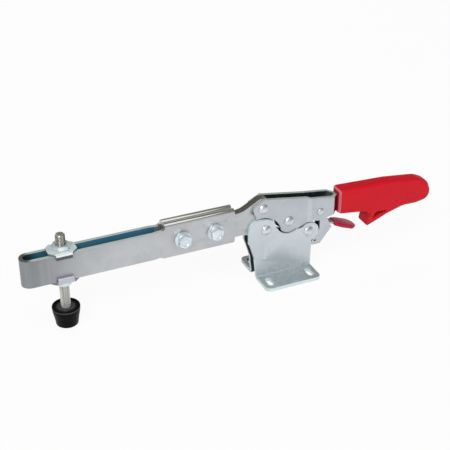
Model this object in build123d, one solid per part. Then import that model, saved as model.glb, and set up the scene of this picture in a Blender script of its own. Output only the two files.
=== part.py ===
from build123d import *
from math import cos, hypot, radians, sin, sqrt
import os

# Horizontal toggle clamp, shut.  Frame in millimetres: X runs from the spindle (-) to the grip (+),
# Y across the clamp, Z up.  The origin is the centre of the bolting face on the underside.

# Layers across the clamp, as distances from the middle plane
SHEET = 3.0                      # base and extension sheet
CORE_HALF = 3.42                 # arm plates and links fill this inner layer
LAYER_GAP = 0.08                 # side play between the core and the plates beside it
WALL_IN = CORE_HALF + LAYER_GAP  # inner face of base walls, channel walls and handle plates
WALL_OUT = WALL_IN + SHEET
SEAM = 0.02                      # half gap between paired plates
HANDLE_SHEET = 3.05
HANDLE_OUT = WALL_IN + HANDLE_SHEET
JOGGLE = 1.25                    # outward step of the handle plates

# Pivots (X, Z)
ARM_PIVOT = (-17.3, 47.2)        # arm on base
HANDLE_PIVOT = (-20.4, 67.9)     # handle on arm
LINK_PIVOT = (4.0, 50.6)         # links on handle
BASE_LINK = (22.9, 36.8)         # links on base
LATCH_PIVOT = (33.3, 54.0)       # latch on handle
SHANK_R = 3.0
LINK_SHANK_R = 2.5
LATCH_SHANK_R = 2.0
LINK_LENGTH = hypot(LINK_PIVOT[0] - BASE_LINK[0], LINK_PIVOT[1] - BASE_LINK[1])
LINK_WANDER = (2.9, 0.68)        # inward and outward play of the slotted eye
LINK_SWING = (118.3, 153.3)      # ends of that slot, in degrees about the base rivet
EYE_WALL = 3.0                   # metal left around the slotted eye
RUN = 0.06                       # radial running clearance of the pivots
HEAD_R = 4.4
HEAD_H = 2.7
LATCH_HEAD_R = 3.0
LATCH_HEAD_H = 1.8

# Base
FOOT_HALF_X = 25.5
FOOT_HALF_Y = 28.0
FOOT_CORNER = 4.5
BEND_R = 1.2
WALL_RIGHT = 25.9
LOBE_TOP = (-33.0, 60.1)         # corner of the rounded left lobe
LOBE_SHOULDER = (-11.6, 56.0)
LOBE_R = 9.0
LINK_EAR = (24.0, 35.7)          # centre of the ear that carries the base end of the links
LINK_EAR_R = 8.7
RELIEF_R = 11.6                  # hollow of the base under the link pivot
SLOT_X = 18.8
SLOT_Y = 17.8
SLOT_LEN = 11.5
SLOT_W = 5.5
BOSS = (-17.7, 19.6)             # small round boss on the front wall
BOSS_R = 1.7
BOSS_H = 0.5

# Handle
HANDLE_LOBE = 8.8
HANDLE_LINK_LOBE = 10.1
EAR_GAP = 1.7                    # handle plates clear of the link ear
LOBE_GAP = 1.3
LOBE_HOLLOW = (-22.0, 40.7)      # round hollow of the handle plates over the left lobe
LOBE_HOLLOW_R = 18.9
JOGGLE_X = (21.0, 24.0)
PINCH_X = 46.0
TONGUE_END = 128.0

# Arm and extension
ARM_END = -104.0
ARM_TOP = 67.4
ARM_LOBE = 8.6
BAR_NOSE = -225.0
BAR_OUT = 7.3
BAR_IN = BAR_OUT - SHEET
BAR_LOW = 44.3
BAR_TOP = 68.2
BAR_NARROW = (-117.0, -113.0)
CHANNEL_LOW = 43.0
CHANNEL_END = -46.4
ROLL_START = -109.0
ROLL_R = 3.23
ROLL_Z = 70.2
DIMPLES = ((-74.4, 52.7), (-54.6, 65.0))
DIMPLE_R = 0.9
DIMPLE_DEPTH = 0.5
BOLT_X = (-92.5, -64.0)
BOLT_Z = 57.3
BOLT_R = 3.0
FLANGE_R = 7.1
BOLT_AF = 10.0
BOLT_HEAD_H = 6.6
BOLT_NUT_H = 6.0

# Spindle group
SPINDLE_X = -191.4
SPINDLE_R = 4.0
SPINDLE_TOP = 82.8
NUT_AF = 13.0
NUT_H = 4.0
WASHER_T = 2.0
WASHER_HALF_X = 11.6
EAR_HALF_X = 6.5
EAR_IN = BAR_OUT + 0.1
EAR_DROP = 3.5
EAR_RISE = 3.6
CAP_TOP_R = 11.4
CAP_LOW_R = 9.15
CAP_H = 16.8
SPINDLE_SEAT = 6.0               # the spindle ends this far above the cap's face

# Latch
LATCH_OUT = WALL_IN + JOGGLE - 0.15
LATCH_IN = LATCH_OUT - 2.0
LATCH_LOBE = 6.0
TAB_SLOPE = radians(21.0)
TAB_START = (49.6, 38.2)
TAB_LEN = 23.8
TAB_T = 3.2
TAB_HALF = 7.6

# Grip
GRIP_HALF = 7.7
GRIP_MOUTH = 51.3
GRIP_LIP = (2.0, 4.3)            # bevel (along X, across) of the two upright edges of the mouth
GRIP_SLOPE = radians(1.3)        # fall of the back of the grip
GRIP_BACK = 68.7                 # height of that back above X = 45
GRIP_EDGE = 4.5
GRIP_POCKET = 5.0                # depth of the hollow in each side of the spur
GRIP_TAIL = 145.8
SPUR_DRAFT = 1.5                 # the spur is this much narrower at its tip, each side


def disc(centre, radius):
    return Pos(*centre) * Circle(radius)


def rounded(corners):
    """Closed outline through corners (x, z, fillet radius)."""
    points = [(x, z) for x, z, _ in corners]
    return make_face(FilletPolyline(*points, radius=[r for _, _, r in corners], close=True))


def slab(outline, y_low, y_high):
    """Side outline (X, Z) made solid between two Y values."""
    return extrude(Plane.XZ.offset(-y_high) * outline, amount=y_high - y_low)


def pin(centre, radius, y_low, y_high):
    return slab(disc(centre, radius), y_low, y_high)


def mirrored(shape):
    return shape.mirror(Plane.XZ)


def dome(centre, radius, height, y_face):
    """Round rivet head standing on the plane y = y_face, towards +Y."""
    ball_r = (radius**2 + height**2) / (2 * height)
    ball = Pos(centre[0], y_face + height - ball_r, centre[1]) * Sphere(ball_r)
    return ball & pin(centre, radius + 1, y_face, y_face + height + 1)


def rivet(centre, shank_r, head_r, head_h, y_face):
    head = dome(centre, head_r, head_h, y_face)
    return pin(centre, shank_r, -y_face, y_face) + head + mirrored(head)


def hexagon(across_flats):
    return RegularPolygon(across_flats / sqrt(3), 6)


# ---------------------------------------------------------------- base

def left_lobe(grow):
    """Rounded ear of the base around the arm pivot, grown outwards by a gap."""
    left, top = LOBE_TOP
    shoulder_x, shoulder_z = LOBE_SHOULDER
    return rounded([
        (left - grow, top + grow, LOBE_R + grow),
        (shoulder_x + grow, shoulder_z + grow, LOBE_R + grow),
        (shoulder_x + 8.5 + grow, 36, 0), (left - grow, 36, 0)])


def base_wall_outline():
    left = LOBE_TOP[0]
    foot = rounded([
        (-FOOT_HALF_X, 0, 0), (-27.6, 20.5, 25), (left + 0.3, 36.5, 22), (left, 46, 0),
        (-8, 46, 0), (14, 41, 0), (WALL_RIGHT, 40, 0), (WALL_RIGHT, 24, 0), (FOOT_HALF_X, 0, 0)])
    outline = foot + left_lobe(0) + disc(LINK_EAR, LINK_EAR_R)
    return outline - disc(LINK_PIVOT, RELIEF_R)


def foot_profile():
    """Section (Y, Z) of one wall bent outwards into its foot."""
    return rounded([
        (WALL_IN, 0, BEND_R + SHEET), (FOOT_HALF_Y, 0, 0), (FOOT_HALF_Y, SHEET, 0),
        (WALL_OUT, SHEET, BEND_R), (WALL_OUT, 64, 0), (WALL_IN, 64, 0)])


def foot_plan():
    mid = (WALL_OUT + FOOT_HALF_Y) / 2
    width = FOOT_HALF_Y - WALL_OUT
    plan = Pos(0, mid) * Rectangle(2 * FOOT_HALF_X, width)
    outer = plan.vertices().filter_by(lambda v: v.Y > mid)
    return fillet(outer, FOOT_CORNER)


def base_plate():
    bent = extrude(Plane.YZ.offset(-40) * foot_profile(), amount=80)
    wall = slab(base_wall_outline(), WALL_IN - 1, WALL_OUT)
    foot = extrude(foot_plan(), amount=SHEET + BEND_R)
    plate = bent & (wall + foot)
    for x in (-SLOT_X, SLOT_X):
        slot = Pos(x, SLOT_Y) * SlotOverall(SLOT_LEN, SLOT_W, rotation=90)
        plate -= extrude(slot, amount=SHEET + 1)
    for centre in (ARM_PIVOT, BASE_LINK):
        plate -= pin(centre, SHANK_R, 0, 20)
    return plate


# ---------------------------------------------------------------- handle

def handle_outline():
    blank = rounded([
        (-25.4, 72.7, 0), (-18.6, 76.2, 9), (JOGGLE_X[0], 69.4, 0), (JOGGLE_X[1], 68.3, 0),
        (PINCH_X, 65.2, 0), (50.5, 64.4, 0), (58, 62.5, 0), (TONGUE_END, 59.5, 0),
        (TONGUE_END, 51, 0), (58, 50.5, 0), (50.5, 49.2, 0), (38.4, 46.8, 0), (31.0, 45.5, 4),
        (26.2, 47.2, 1), (24.4, 44, 0), (18.7, 44.8, 0), (13.1, 42.6, 0), (LINK_PIVOT[0], 42, 0),
        (-4, 49, 0), (-27, 58, 0)])
    outline = blank + disc(HANDLE_PIVOT, HANDLE_LOBE) + disc(LINK_PIVOT, HANDLE_LINK_LOBE)
    corner = make_face(Polyline((-40, 72.7 - 14.6 * 0.53), (-25.4, 72.7), (-18.6, 76.2),
                                (-18.6, 90), (-40, 90), close=True))
    outline -= left_lobe(LOBE_GAP) + disc(LOBE_HOLLOW, LOBE_HOLLOW_R)
    return outline - corner - disc(LINK_EAR, LINK_EAR_R + EAR_GAP)


def handle_plan():
    """Strip (X, Y) of one handle plate: straight, stepped out, then pinched to the middle."""
    wide = HANDLE_OUT + JOGGLE
    reach = PINCH_X + wide - HANDLE_SHEET - SEAM
    lean = HANDLE_SHEET * (sqrt(2) - 1)
    start, step = JOGGLE_X
    outer = [(-40, HANDLE_OUT), (start, HANDLE_OUT), (step, wide), (PINCH_X, wide),
             (reach, HANDLE_SHEET + SEAM), (TONGUE_END + 5, HANDLE_SHEET + SEAM)]
    inner = [(TONGUE_END + 5, SEAM), (reach - lean, SEAM), (PINCH_X - lean, wide - HANDLE_SHEET),
             (step + 0.6, wide - HANDLE_SHEET), (start + 0.6, WALL_IN), (-40, WALL_IN)]
    radii = [0, 2, 2, 3, 1, 0, 0, 0, 0.3, 0.5, 0.5, 0]
    return rounded([(x, y, r) for (x, y), r in zip(outer + inner, radii)])


def handle_plate():
    strip = extrude(Pos(0, 0, 35) * handle_plan(), amount=50)
    plate = strip & slab(handle_outline(), -1, 12)
    plate -= pin(HANDLE_PIVOT, SHANK_R, 0, 12)
    plate -= pin(LINK_PIVOT, LINK_SHANK_R, 0, 12)
    plate -= pin(LATCH_PIVOT, LATCH_SHANK_R, 0, 12)
    return plate


def grip_outline():
    return rounded([
        (GRIP_MOUTH, 66.0, 2), (54.0, 69.0, 2), (100.7, 67.4, 60), (131.5, 63.6, 18),
        (142.6, 58.5, 11), (GRIP_TAIL + 0.6, 41.2, 8.5), (129, 39.8, 20),
        (117.0, 40.4, 20), (101, 36.2, 25), (79.4, 27.2, 1.6), (81.6, 37, 12),
        (84.2, 41.6, 3), (74.3, 43.8, 8), (54.6, 46.4, 1.5), (GRIP_MOUTH, 47.6, 1)])


def grip_pocket():
    return rounded([(85.0, 33.4, 0.8), (88.4, 40.9, 1.2), (101.5, 39.9, 1.0)])


def grip_rail():
    """Prism along the sloping back of the grip, with its two upper edges rounded."""
    along = (cos(GRIP_SLOPE), 0, -sin(GRIP_SLOPE))
    across = Plane(origin=(45, 0, GRIP_BACK), x_dir=(0, 1, 0), z_dir=along)
    edge = GRIP_EDGE
    tip = GRIP_HALF - SPUR_DRAFT
    section = rounded([
        (-GRIP_HALF, 0, edge), (GRIP_HALF, 0, edge), (GRIP_HALF, -27, 20), (tip, -42, 0),
        (-tip, -42, 0), (-GRIP_HALF, -27, 20)])
    return extrude(across * section, amount=120)


def grip_plan():
    """Plan (X, Y) of the grip: bevelled mouth and rounded tail."""
    half = GRIP_HALF
    reach, drop = GRIP_LIP
    start = (GRIP_MOUTH - reach / 2, half - 1.5 * drop)
    return rounded([
        (start[0], -start[1], 0), (GRIP_MOUTH + reach, -half, 1.8), (GRIP_TAIL, -half, 6.5),
        (GRIP_TAIL, half, 6.5), (GRIP_MOUTH + reach, half, 1.8), (start[0], start[1], 0)])


def grip(plates):
    body = slab(grip_outline(), -GRIP_HALF - 1, GRIP_HALF + 1) & extrude(grip_plan(), amount=80)
    body &= grip_rail()
    for y_low in (-GRIP_HALF, GRIP_HALF - GRIP_POCKET):
        body -= slab(grip_pocket(), y_low, y_low + GRIP_POCKET)
    for plate in plates:
        body -= plate
    return body


# ---------------------------------------------------------------- arm and links

def arm_plate():
    goose = rounded([
        (ARM_END, 46.4, 0), (ARM_END, ARM_TOP, 0), (-38.6, ARM_TOP, 20), (-25.2, 75.0, 0),
        (HANDLE_PIVOT[0], 70, 0), (ARM_PIVOT[0], 42, 0), (-27, 43.2, 8), (-38, 45.6, 8)])
    web = make_face(Polyline(
        (HANDLE_PIVOT[0] - ARM_LOBE, HANDLE_PIVOT[1]), (HANDLE_PIVOT[0] + ARM_LOBE, HANDLE_PIVOT[1]),
        (ARM_PIVOT[0] + ARM_LOBE, ARM_PIVOT[1]), (ARM_PIVOT[0] - ARM_LOBE, ARM_PIVOT[1]), close=True))
    outline = goose + web + disc(HANDLE_PIVOT, ARM_LOBE) + disc(ARM_PIVOT, ARM_LOBE)
    outline -= disc(HANDLE_PIVOT, SHANK_R + RUN) + disc(ARM_PIVOT, SHANK_R + RUN)
    for x in BOLT_X:
        outline -= disc((x, BOLT_Z), BOLT_R)
    return slab(outline, SEAM, CORE_HALF)


def link_plate():
    """Link: round eye on the base, slotted eye at the handle that lets the rivet wander."""
    inner = LINK_LENGTH - LINK_WANDER[0] - LINK_SHANK_R
    outer = LINK_LENGTH + LINK_WANDER[1] + LINK_SHANK_R
    sweep = [radians(a) for a in LINK_SWING]
    edge = [sweep[0] - EYE_WALL / LINK_LENGTH, sweep[1] + EYE_WALL / LINK_LENGTH]
    band = disc(BASE_LINK, outer + EYE_WALL) - disc(BASE_LINK, inner - EYE_WALL)
    window = disc(BASE_LINK, outer) - disc(BASE_LINK, inner)
    head = band & wedge(BASE_LINK, edge[0], edge[1], 45)
    neck = make_face(Polyline(*[polar(BASE_LINK, r, a) for r, a in (
        (6.5, edge[0] - 0.35), (20, edge[0] + 0.1), (20, edge[1] - 0.1), (6.5, edge[1] + 0.35))],
        close=True))
    outline = head + neck + disc(BASE_LINK, 8.0)
    outline -= window & wedge(BASE_LINK, sweep[0], sweep[1], 45)
    outline -= disc(BASE_LINK, SHANK_R + RUN)
    return slab(outline, SEAM, CORE_HALF)


def polar(centre, radius, angle):
    return (centre[0] + radius * cos(angle), centre[1] + radius * sin(angle))


def wedge(centre, start, end, radius):
    return make_face(Polyline(centre, polar(centre, radius, start), polar(centre, radius, end),
                              close=True))


# ---------------------------------------------------------------- extension bar

def bar_plan(wide, narrow, nose_x, end_x):
    """Plan (X, Y) of the folded bar: round nose, straight sides, then a narrower channel."""
    first, last = BAR_NARROW
    body = make_face(Polyline(
        (nose_x + wide, wide), (first, wide), (last, narrow), (end_x, narrow), (end_x, -narrow),
        (last, -narrow), (first, -wide), (nose_x + wide, -wide), close=True))
    return body + disc((nose_x + wide, 0), wide)


def bar_side():
    return rounded([
        (BAR_NOSE - 5, BAR_LOW, 0), (-112.2, BAR_LOW, 1), (-109.2, CHANNEL_LOW, 1),
        (CHANNEL_END, CHANNEL_LOW, 1.5), (CHANNEL_END, ROLL_Z, 0), (ROLL_START + 2, ROLL_Z, 0),
        (ROLL_START - 1, BAR_TOP, 1.5), (BAR_NOSE - 5, BAR_TOP, 0)])


def roll():
    """Top edge of one channel wall, rolled inwards."""
    section = disc((WALL_OUT - ROLL_R, ROLL_Z), ROLL_R)
    section &= Pos(WALL_OUT / 2, ROLL_Z + 4) * Rectangle(WALL_OUT, 8)
    lip = Pos((WALL_IN + SEAM) / 2, ROLL_Z - 0.6) * Rectangle(WALL_IN - SEAM, 1.2)
    along = Plane.YZ.offset(ROLL_START + 1.5)
    solid = extrude(along * section, amount=CHANNEL_END - ROLL_START - 1.5)
    return solid + extrude(along * lip, amount=CHANNEL_END - ROLL_START - 1.5)


def extension_bar():
    outer = bar_plan(BAR_OUT, WALL_OUT, BAR_NOSE, CHANNEL_END)
    inner = bar_plan(BAR_IN, WALL_IN, BAR_NOSE + SHEET, CHANNEL_END + 1)
    bar = extrude(Pos(0, 0, 40) * (outer - inner), amount=35) & slab(bar_side(), -10, 10)
    bar += roll()
    bar += mirrored(roll())
    for x in BOLT_X:
        bar -= pin((x, BOLT_Z), BOLT_R, -10, 10)
    for dimple in DIMPLES:
        bar -= pin(dimple, DIMPLE_R, -WALL_OUT, DIMPLE_DEPTH - WALL_OUT)
    return bar


def extension_bolt(x):
    """Flange bolt from the front: round flange, hexagon head and plain shank."""
    end = WALL_OUT + BOLT_NUT_H + 2
    body = pin((x, BOLT_Z), BOLT_R, -WALL_OUT, end)
    body += pin((x, BOLT_Z), FLANGE_R, -WALL_OUT - 1.5, -WALL_OUT)
    body += slab(Pos(x, BOLT_Z) * hexagon(BOLT_AF), -WALL_OUT - BOLT_HEAD_H, -WALL_OUT)
    return body


def extension_nut(x):
    body = pin((x, BOLT_Z), FLANGE_R, WALL_OUT, WALL_OUT + 1.5)
    body += slab(Pos(x, BOLT_Z) * hexagon(BOLT_AF), WALL_OUT, WALL_OUT + BOLT_NUT_H)
    return body - pin((x, BOLT_Z), BOLT_R, 0, 20)


# ---------------------------------------------------------------- spindle group

def at_spindle(z):
    return Pos(SPINDLE_X, 0, z)


def spindle():
    rod = at_spindle(SPINDLE_SEAT) * Cylinder(
        SPINDLE_R, SPINDLE_TOP - SPINDLE_SEAT, align=(Align.CENTER, Align.CENTER, Align.MIN))
    return chamfer(rod.edges().group_by(Axis.Z)[-1], 0.8)


def spindle_cap():
    section = make_face(FilletPolyline(
        (0, 0), (CAP_LOW_R, 0), (CAP_LOW_R + 0.7, 4), (CAP_TOP_R, 12), (CAP_TOP_R, CAP_H),
        (6, CAP_H), (0, CAP_H - 1.2), radius=[0, 1.0, 6, 5, 0.8, 2, 0], close=True))
    return at_spindle(0) * revolve(Plane.XZ * section, axis=Axis.Z)


def jam_nut(z):
    body = extrude(hexagon(NUT_AF), amount=NUT_H)
    cone_low = Pos(0, 0, NUT_H / 2) * Cylinder(NUT_AF / 2 + 0.55, NUT_H)
    body = body & (chamfer(cone_low.edges().filter_by(GeomType.CIRCLE), 0.5))
    body -= Cylinder(SPINDLE_R + RUN, 20)
    return at_spindle(z) * body


def flanged_washer(z_face, ear_to):
    """Octagonal washer lying on a bar edge, with two ears bent along the bar's sides."""
    half_y = EAR_IN + WASHER_T
    low = min(z_face, z_face + (WASHER_T if ear_to < z_face else -WASHER_T))
    cut = WASHER_HALF_X - EAR_HALF_X
    plan = rounded([
        (-WASHER_HALF_X, -4.6, 1), (-EAR_HALF_X, -half_y, 1), (EAR_HALF_X, -half_y, 1),
        (WASHER_HALF_X, -half_y + cut - 0.4, 1), (WASHER_HALF_X, 4.6, 1), (EAR_HALF_X, half_y, 1),
        (-EAR_HALF_X, half_y, 1), (-WASHER_HALF_X, 4.6, 1)])
    body = extrude(Pos(0, 0, low) * plan, amount=WASHER_T)
    ear_mid = (low + WASHER_T / 2 + ear_to) / 2
    ear_h = abs(low + WASHER_T / 2 - ear_to)
    for side in (-1, 1):
        body += Pos(0, side * (EAR_IN + WASHER_T / 2), ear_mid) * Box(2 * EAR_HALF_X, WASHER_T, ear_h)
    face = low if ear_to > z_face else low + WASHER_T
    bend = rounded([(-half_y, face, 1.4), (half_y, face, 1.4), (half_y, ear_to, 0.5),
                    (-half_y, ear_to, 0.5)])
    body &= extrude(Plane.YZ.offset(-20) * bend, amount=40)
    body -= Pos(0, 0, z_face) * Cylinder(SPINDLE_R + RUN, 20)
    return Pos(SPINDLE_X, 0, 0) * body


# ---------------------------------------------------------------- latch

def latch_side_outline():
    body = rounded([
        (34.6, 43.4, 0), (34.6, 35.2, 1), (28.5, 25.9, 1.2), (26.3, 23.4, 1.2), (27.6, 20.6, 1.5),
        (35.4, 20.4, 2), (39.9, 26.1, 3), (46.4, 34.6, 1), (41.0, 45.2, 1.5), (38.5, 50.5, 0),
        (30, 50.5, 0)])
    return body + disc(LATCH_PIVOT, LATCH_LOBE)


def latch_web_outline():
    return rounded([(39.2, 44.4, 0), (41.0, 45.2, 0), (46.4, 34.6, 0), (44.6, 33.7, 0)])


def tab_plane():
    return Plane(origin=(TAB_START[0], 0, TAB_START[1]), x_dir=(cos(TAB_SLOPE), 0, -sin(TAB_SLOPE)),
                 z_dir=(sin(TAB_SLOPE), 0, cos(TAB_SLOPE)))


def latch_tongue():
    strip = Pos(7, 0, -TAB_T / 2 - 0.7) * Rectangle(24, 8)
    return extrude(tab_plane() * strip, amount=1.4)


def latch_hook():
    side = slab(latch_side_outline(), LATCH_IN, LATCH_OUT)
    side -= pin(LATCH_PIVOT, LATCH_SHANK_R + RUN, 0, 10)
    side -= pin((30.6, 24.6), 1.0, 0, 10)
    web = slab(latch_web_outline(), -LATCH_OUT, LATCH_OUT)
    return side + mirrored(side) + web + latch_tongue()


def latch_tab(hook):
    plan = rounded([
        (0, -5.6, 2), (7, -TAB_HALF, 8), (19, -TAB_HALF, 6), (TAB_LEN, -3.2, 3.5),
        (TAB_LEN, 3.2, 3.5), (19, TAB_HALF, 6), (7, TAB_HALF, 8), (0, 5.6, 2)])
    body = extrude(tab_plane() * plan, amount=-TAB_T)
    return body - hook


# ---------------------------------------------------------------- nodes

def all_nodes():
    base_rear = base_plate()
    boss = pin(BOSS, BOSS_R, -WALL_OUT - BOSS_H, -WALL_OUT)
    base_front = mirrored(base_rear) + boss
    arm_rear = arm_plate()
    link_rear = link_plate()
    handle_rear = handle_plate()
    handle_front = mirrored(handle_rear)
    hook = latch_hook()
    rod = spindle()
    nodes = {
        "base_plate_front": base_front,
        "base_plate_rear": base_rear,
        "arm_pivot_rivet": rivet(ARM_PIVOT, SHANK_R, HEAD_R, HEAD_H, WALL_OUT),
        "base_link_rivet": rivet(BASE_LINK, SHANK_R, HEAD_R, HEAD_H, WALL_OUT),
        "arm_plate_front": mirrored(arm_rear),
        "arm_plate_rear": arm_rear,
        "extension_bar": extension_bar(),
        "handle_plate_front": handle_front,
        "handle_plate_rear": handle_rear,
        "handle_pivot_rivet": rivet(HANDLE_PIVOT, SHANK_R, HEAD_R, HEAD_H, HANDLE_OUT),
        "link_pivot_rivet": rivet(LINK_PIVOT, LINK_SHANK_R, HEAD_R, HEAD_H, HANDLE_OUT),
        "latch_rivet": rivet(LATCH_PIVOT, LATCH_SHANK_R, LATCH_HEAD_R, LATCH_HEAD_H,
                             HANDLE_OUT + JOGGLE),
        "handle_grip": grip([handle_front, handle_rear]),
        "link_plate_front": mirrored(link_rear),
        "link_plate_rear": link_rear,
        "latch_hook": hook,
        "latch_tab": latch_tab(hook),
        "spindle": rod,
        "spindle_cap": spindle_cap() - rod,
        "spindle_nut_upper": jam_nut(BAR_TOP + WASHER_T),
        "spindle_nut_lower": jam_nut(BAR_LOW - WASHER_T - NUT_H),
        "flanged_washer_upper": flanged_washer(BAR_TOP, BAR_TOP - EAR_DROP),
        "flanged_washer_lower": flanged_washer(BAR_LOW, BAR_LOW + EAR_RISE),
    }
    for name, x in zip(("outer", "inner"), BOLT_X):
        nodes["extension_bolt_" + name] = extension_bolt(x)
        nodes["extension_nut_" + name] = extension_nut(x)
    return nodes


os.makedirs("parts", exist_ok=True)
for name, shape in all_nodes().items():
    export_step(shape, "parts/" + name + ".step")
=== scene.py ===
# %% [markdown]
# A horizontal toggle clamp: a folded steel base, a riveted linkage, a long slotted arm that carries
# a screw spindle with a rubber cap, and a red grip with a safety latch.  The solids come from the
# packed model.  This file gives each of them the finish that the workshop gave it, with painted
# shade, painted highlights and painted reflections in places, and swaps a few for finer pieces:
# threads, chamfered nuts, the moulded grip and the dipped tab.

# %% The packed model
import math

import bmesh
import bpy
import numpy as np
from mathutils import Matrix, Vector


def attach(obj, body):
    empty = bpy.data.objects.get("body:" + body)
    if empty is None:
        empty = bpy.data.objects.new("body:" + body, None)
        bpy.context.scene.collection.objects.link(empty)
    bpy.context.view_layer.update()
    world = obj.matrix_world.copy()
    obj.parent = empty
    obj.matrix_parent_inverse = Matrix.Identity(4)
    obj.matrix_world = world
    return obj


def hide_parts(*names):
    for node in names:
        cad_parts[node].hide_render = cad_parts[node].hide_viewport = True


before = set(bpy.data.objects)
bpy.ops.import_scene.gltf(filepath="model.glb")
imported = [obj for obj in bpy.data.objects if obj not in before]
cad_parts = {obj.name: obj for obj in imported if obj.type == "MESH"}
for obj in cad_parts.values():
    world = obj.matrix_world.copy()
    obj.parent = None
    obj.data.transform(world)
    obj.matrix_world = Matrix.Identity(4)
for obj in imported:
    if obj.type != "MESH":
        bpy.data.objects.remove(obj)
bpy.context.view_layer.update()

# %% [markdown]
# All new pieces are surfaces on a grid: one index runs round a section, the other along the piece.
# A quad grid keeps highlights clean, and numpy works out all its points in one go.  Closed sections
# wrap round, and a pole is closed by merging the points that fall together.

# %% Grids into meshes
MM = 0.001      # all sizes below are typed in millimetres
MERGE = 2e-7    # metres: points that lie nearer together are one point
CREASE = 32.0   # degrees: an edge that bends more stays crisp


def add_object(name, data):
    """A new object at the origin, unturned, in the scene's own collection."""
    made = bpy.data.objects.new(name, data)
    bpy.context.scene.collection.objects.link(made)
    return made


def mark_creases(mesh, crease=CREASE):
    """Shade all faces smooth, apart from edges that bend more than an angle in degrees."""
    mesh.shade_smooth()
    mesh.set_sharp_from_angle(angle=math.radians(crease))


def finish_mesh(mesh, crease=CREASE):
    """Merge points that coincide, turn all faces outwards and mark the creases."""
    shell = bmesh.new()
    shell.from_mesh(mesh)
    bmesh.ops.remove_doubles(shell, verts=shell.verts, dist=MERGE)
    bmesh.ops.recalc_face_normals(shell, faces=shell.faces)
    shell.to_mesh(mesh)
    shell.free()
    mark_creases(mesh, crease)


def grid_faces(rows, columns, wrap_rows, wrap_columns):
    """Quads (i, j), (i+1, j), (i+1, j+1), (i, j+1) of a rows x columns grid of points."""
    i, j = np.meshgrid(np.arange(rows if wrap_rows else rows - 1),
                       np.arange(columns if wrap_columns else columns - 1), indexing="ij")
    i1, j1 = (i + 1) % rows, (j + 1) % columns
    return np.stack([i * columns + j, i1 * columns + j, i1 * columns + j1, i * columns + j1],
                    -1).reshape(-1, 4)


def make_piece(name, body, points, faces, stands_for=(), crease=CREASE):
    """A piece from points in millimetres, which rides on a body and may stand for solids."""
    mesh = bpy.data.meshes.new(name)
    mesh.from_pydata((np.asarray(points).reshape(-1, 3) * MM).tolist(), [],
                     [list(map(int, face)) for face in faces])
    finish_mesh(mesh, crease)
    piece = add_object(name, mesh)
    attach(piece, body)
    if stands_for:
        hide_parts(*stands_for)
    print(name, len(mesh.vertices), "points,", len(mesh.polygons), "faces")
    return piece


def turned(profile, sides):
    """Surface of revolution: (r, z) becomes (r cos a, r sin a, z) for a from 0 to 360 degrees."""
    r, z = np.asarray(profile, float).T
    a = np.linspace(0, 2 * np.pi, sides, endpoint=False)
    grid = np.stack([np.outer(r, np.cos(a)), np.outer(r, np.sin(a)),
                     np.outer(z, np.ones(sides))], -1)
    return grid, grid_faces(len(r), sides, False, True)


print("a 2 x 4 tube has", len(grid_faces(2, 4, False, True)), "faces")

# %% [markdown]
# A finish is a Principled shader with a few procedural patterns that feed it.  Writing the sums as
# Python expressions keeps a recipe readable: Channel wraps a socket, so that 0.3 + 0.1 * grain adds
# the Math nodes by itself.

# %% Shader expressions
class Channel:
    """A number that varies over a surface; +, - and * on it add the Math node that does the sum."""

    def __init__(self, recipe, socket):
        self.recipe, self.socket = recipe, socket

    def _math(self, operation, first, second):
        return self.recipe.node("ShaderNodeMath", {"operation": operation}, {0: first, 1: second})

    def __add__(self, other):
        return self._math("ADD", self, other)

    def __radd__(self, other):
        return self._math("ADD", other, self)

    def __sub__(self, other):
        return self._math("SUBTRACT", self, other)

    def __rsub__(self, other):
        return self._math("SUBTRACT", other, self)

    def __mul__(self, other):
        return self._math("MULTIPLY", self, other)

    def __rmul__(self, other):
        return self._math("MULTIPLY", other, self)


print("Channel has", ", ".join(name for name in vars(Channel) if name.startswith("__r")))

# %% [markdown]
# A recipe is a tree of nodes that ends in one last node: the Principled shader of a finish, the
# output of the floor's paper or the background of the sky.  Every node that isn't a sum comes from
# its one method, which sets a node's properties first and fills its sockets afterwards.

# %% Recipes and finishes
class Recipe:
    """Nodes that work out a look; node() adds one, feed() links one to the tree's last node."""

    def __init__(self, tree, last):
        self.tree, self.last = tree, tree.nodes[last]

    def node(self, kind, settings=None, inputs=None, output=0):
        """Set a new node's properties or stops, then fill or link its sockets."""
        made = self.tree.nodes.new(kind)
        for key, value in (settings or {}).items():
            if key == "stops":
                for _ in value[2:]:
                    made.color_ramp.elements.new(0.5)
                for stop, (at, colour) in zip(made.color_ramp.elements, value):
                    stop.position, stop.color = at, colour
            else:
                setattr(made, key, value)
        for key, value in (inputs or {}).items():
            if isinstance(value, Channel):
                self.tree.links.new(value.socket, made.inputs[key])
            else:
                made.inputs[key].default_value = value
        return Channel(self, made.outputs[output])

    def feed(self, label, channel):
        """Link a value to one socket of the last node."""
        self.tree.links.new(channel.socket, self.last.inputs[label])

    def blend(self, amount, low, high):
        """The colour low where amount is 0, high where it is 1."""
        return self.node("ShaderNodeMix", {"data_type": "RGBA"},
                         {0: amount, 6: low, 7: high}, output=2)

    def ramp(self, value, low, high, curve="SMOOTHSTEP"):
        """0 below low, 1 above high, and a climb between."""
        return self.node("ShaderNodeMapRange", {"interpolation_type": curve},
                         {"Value": value, "From Min": low, "From Max": high})


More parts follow.
